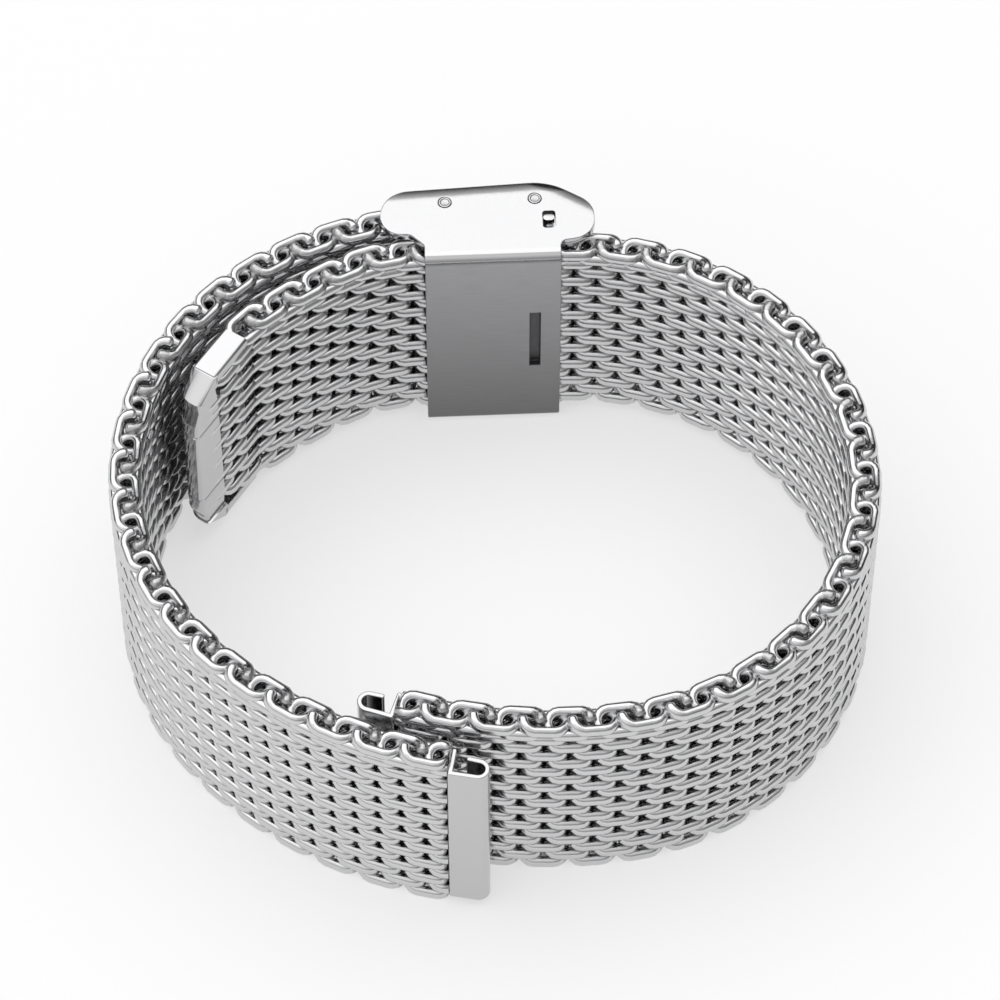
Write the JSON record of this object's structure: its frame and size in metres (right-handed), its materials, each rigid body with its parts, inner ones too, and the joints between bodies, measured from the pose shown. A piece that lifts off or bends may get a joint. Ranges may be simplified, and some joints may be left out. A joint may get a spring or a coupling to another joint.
{
  "type": "milanese mesh watch band",
  "caption": "Woven steel mesh watch band in two halves, closed into a ring by a sliding clasp with a lock lever, a hook and a cover; both ends carry curled lug channels.",
  "frame": {"origin": "middle of the footprint, at the outer face of the lower clasp wing on which the band stands", "axes": "+X along the clasp, +Y from the wrist side of the clasp plate outwards, +Z along the width of the band"},
  "size_m": [0.0596, 0.0538, 0.0222],
  "materials": {
    "mesh_wire": "polished",
    "clasp_sheet": "polished",
    "end_sheet": "polished",
    "pin_steel": "satin"
  },
  "bodies": {
    "clasp": {"clasp_body": "clasp_sheet", "clamped_mesh": "mesh_wire", "hook_pin": "pin_steel", "cover_pin": "pin_steel"},
    "lock": {"lock_lever": "clasp_sheet"},
    "cover": {"clasp_cover": "clasp_sheet"},
    "hook": {"short_half_hook": "clasp_sheet"},
    "long_half_01": {"long_half_link_01": "mesh_wire"},
    "long_half_02": {"long_half_link_02": "mesh_wire"},
    "long_half_03": {"long_half_link_03": "mesh_wire"},
    "long_half_04": {"long_half_link_04": "mesh_wire"},
    "long_half_05": {"long_half_link_05": "mesh_wire"},
    "long_half_06": {"long_half_link_06": "mesh_wire"},
    "long_half_07": {"long_half_link_07": "mesh_wire"},
    "long_half_08": {"long_half_link_08": "mesh_wire"},
    "long_half_09": {"long_half_link_09": "mesh_wire"},
    "long_half_10": {"long_half_link_10": "mesh_wire"},
    "long_half_11": {"long_half_link_11": "mesh_wire"},
    "long_half_12": {"long_half_link_12": "mesh_wire", "long_half_lug_end": "end_sheet"},
    "short_half_01": {"short_half_link_01": "mesh_wire"},
    "short_half_02": {"short_half_link_02": "mesh_wire"},
    "short_half_03": {"short_half_link_03": "mesh_wire"},
    "short_half_04": {"short_half_link_04": "mesh_wire"},
    "short_half_05": {"short_half_link_05": "mesh_wire"},
    "short_half_06": {"short_half_link_06": "mesh_wire"},
    "short_half_07": {"short_half_link_07": "mesh_wire"},
    "short_half_08": {"short_half_link_08": "mesh_wire"},
    "short_half_09": {"short_half_link_09": "mesh_wire"},
    "short_half_10": {"short_half_link_10": "mesh_wire", "short_half_lug_end": "end_sheet"},
    "tail_01": {"tail_link_01": "mesh_wire"},
    "tail_02": {"tail_link_02": "mesh_wire"},
    "tail_03": {"tail_link_03": "mesh_wire", "tail_tip": "end_sheet"}
  },
  "joints": [
    {"name": "cover_open", "type": "hinge", "parent": "clasp", "child": "cover", "pos_m": [0.00426, 0.02535, 0.0111], "axis": [0, 0, -1], "range_deg": [0, 95]},
    {"name": "lock_release", "type": "hinge", "parent": "clasp", "child": "lock", "pos_m": [0.0053, 0.0234, 0.0111], "axis": [0, 0, -1], "range_deg": [0, 15]},
    {"name": "hook_swing", "type": "hinge", "parent": "clasp", "child": "hook", "pos_m": [-0.0029, 0.02525, 0.0111], "axis": [0, 0, -1], "range_deg": [0, 4]},
    {"name": "long_half_open_01", "type": "hinge", "parent": "clasp", "child": "long_half_01", "pos_m": [0.00628, 0.0217, 0.0111], "axis": [0, 0, 1], "range_deg": [0, 17]},
    {"name": "long_half_open_02", "type": "hinge", "parent": "long_half_01", "child": "long_half_02", "pos_m": [0.01354, 0.02048, 0.0111], "axis": [0, 0, 1], "range_deg": [0, 17]},
    {"name": "long_half_open_03", "type": "hinge", "parent": "long_half_02", "child": "long_half_03", "pos_m": [0.02, 0.01695, 0.0111], "axis": [0, 0, 1], "range_deg": [0, 17]},
    {"name": "long_half_open_04", "type": "hinge", "parent": "long_half_03", "child": "long_half_04", "pos_m": [0.02496, 0.01149, 0.0111], "axis": [0, 0, 1], "range_deg": [0, 17]},
    {"name": "long_half_open_05", "type": "hinge", "parent": "long_half_04", "child": "long_half_05", "pos_m": [0.02786, 0.00472, 0.0111], "axis": [0, 0, 1], "range_deg": [0, 17]},
    {"name": "long_half_open_06", "type": "hinge", "parent": "long_half_05", "child": "long_half_06", "pos_m": [0.02836, -0.00262, 0.0111], "axis": [0, 0, 1], "range_deg": [0, 17]},
    {"name": "long_half_open_07", "type": "hinge", "parent": "long_half_06", "child": "long_half_07", "pos_m": [0.02641, -0.00972, 0.0111], "axis": [0, 0, 1], "range_deg": [0, 17]},
    {"name": "long_half_open_08", "type": "hinge", "parent": "long_half_07", "child": "long_half_08", "pos_m": [0.02221, -0.01578, 0.0111], "axis": [0, 0, 1], "range_deg": [0, 17]},
    {"name": "long_half_open_09", "type": "hinge", "parent": "long_half_08", "child": "long_half_09", "pos_m": [0.01625, -0.0201, 0.0111], "axis": [0, 0, 1], "range_deg": [0, 17]},
    {"name": "long_half_open_10", "type": "hinge", "parent": "long_half_09", "child": "long_half_10", "pos_m": [0.00919, -0.0222, 0.0111], "axis": [0, 0, 1], "range_deg": [0, 17]},
    {"name": "long_half_open_11", "type": "hinge", "parent": "long_half_10", "child": "long_half_11", "pos_m": [0.0018, -0.02235, 0.0111], "axis": [0, 0, 1], "range_deg": [0, 17]},
    {"name": "long_half_open_12", "type": "hinge", "parent": "long_half_11", "child": "long_half_12", "pos_m": [-0.00547, -0.02103, 0.0111], "axis": [0, 0, 1], "range_deg": [0, 17]},
    {"name": "short_half_open_01", "type": "hinge", "parent": "hook", "child": "short_half_01", "pos_m": [-0.00724, 0.02465, 0.0111], "axis": [0, 0, -1], "range_deg": [0, 17]},
    {"name": "short_half_open_02", "type": "hinge", "parent": "short_half_01", "child": "short_half_02", "pos_m": [-0.01432, 0.02258, 0.0111], "axis": [0, 0, -1], "range_deg": [0, 17]},
    {"name": "short_half_open_03", "type": "hinge", "parent": "short_half_02", "child": "short_half_03", "pos_m": [-0.02051, 0.01857, 0.0111], "axis": [0, 0, -1], "range_deg": [0, 17]},
    {"name": "short_half_open_04", "type": "hinge", "parent": "short_half_03", "child": "short_half_04", "pos_m": [-0.02521, 0.0129, 0.0111], "axis": [0, 0, -1], "range_deg": [0, 17]},
    {"name": "short_half_open_05", "type": "hinge", "parent": "short_half_04", "child": "short_half_05", "pos_m": [-0.02792, 0.00605, 0.0111], "axis": [0, 0, -1], "range_deg": [0, 17]},
    {"name": "short_half_open_06", "type": "hinge", "parent": "short_half_05", "child": "short_half_06", "pos_m": [-0.02836, -0.00131, 0.0111], "axis": [0, 0, -1], "range_deg": [0, 17]},
    {"name": "short_half_open_07", "type": "hinge", "parent": "short_half_06", "child": "short_half_07", "pos_m": [-0.02649, -0.00844, 0.0111], "axis": [0, 0, -1], "range_deg": [0, 17]},
    {"name": "short_half_open_08", "type": "hinge", "parent": "short_half_07", "child": "short_half_08", "pos_m": [-0.02251, -0.01463, 0.0111], "axis": [0, 0, -1], "range_deg": [0, 17]},
    {"name": "short_half_open_09", "type": "hinge", "parent": "short_half_08", "child": "short_half_09", "pos_m": [-0.01701, -0.01957, 0.0111], "axis": [0, 0, -1], "range_deg": [0, 17]},
    {"name": "short_half_open_10", "type": "hinge", "parent": "short_half_09", "child": "short_half_10", "pos_m": [-0.01058, -0.0232, 0.0111], "axis": [0, 0, -1], "range_deg": [0, 17]},
    {"name": "tail_curl_01", "type": "hinge", "parent": "clasp", "child": "tail_01", "pos_m": [-0.00482, 0.0217, 0.0111], "axis": [0, 0, 1], "range_deg": [0, 12]},
    {"name": "tail_curl_02", "type": "hinge", "parent": "tail_01", "child": "tail_02", "pos_m": [-0.01192, 0.01989, 0.0111], "axis": [0, 0, 1], "range_deg": [0, 12]},
    {"name": "tail_curl_03", "type": "hinge", "parent": "tail_02", "child": "tail_03", "pos_m": [-0.01811, 0.01585, 0.0111], "axis": [0, 0, 1], "range_deg": [0, 12]}
  ],
  "couplings": [
    {"joint": "long_half_open_02", "follows": "long_half_open_01", "ratio": 1},
    {"joint": "long_half_open_03", "follows": "long_half_open_01", "ratio": 1},
    {"joint": "long_half_open_04", "follows": "long_half_open_01", "ratio": 1},
    {"joint": "long_half_open_05", "follows": "long_half_open_01", "ratio": 1},
    {"joint": "long_half_open_06", "follows": "long_half_open_01", "ratio": 1},
    {"joint": "long_half_open_07", "follows": "long_half_open_01", "ratio": 1},
    {"joint": "long_half_open_08", "follows": "long_half_open_01", "ratio": 1},
    {"joint": "long_half_open_09", "follows": "long_half_open_01", "ratio": 1},
    {"joint": "long_half_open_10", "follows": "long_half_open_01", "ratio": 1},
    {"joint": "long_half_open_11", "follows": "long_half_open_01", "ratio": 1},
    {"joint": "long_half_open_12", "follows": "long_half_open_01", "ratio": 1},
    {"joint": "short_half_open_01", "follows": "long_half_open_01", "ratio": 1},
    {"joint": "short_half_open_02", "follows": "long_half_open_01", "ratio": 1},
    {"joint": "short_half_open_03", "follows": "long_half_open_01", "ratio": 1},
    {"joint": "short_half_open_04", "follows": "long_half_open_01", "ratio": 1},
    {"joint": "short_half_open_05", "follows": "long_half_open_01", "ratio": 1},
    {"joint": "short_half_open_06", "follows": "long_half_open_01", "ratio": 1},
    {"joint": "short_half_open_07", "follows": "long_half_open_01", "ratio": 1},
    {"joint": "short_half_open_08", "follows": "long_half_open_01", "ratio": 1},
    {"joint": "short_half_open_09", "follows": "long_half_open_01", "ratio": 1},
    {"joint": "short_half_open_10", "follows": "long_half_open_01", "ratio": 1},
    {"joint": "tail_curl_02", "follows": "tail_curl_01", "ratio": 1},
    {"joint": "tail_curl_03", "follows": "tail_curl_01", "ratio": 1}
  ]
}
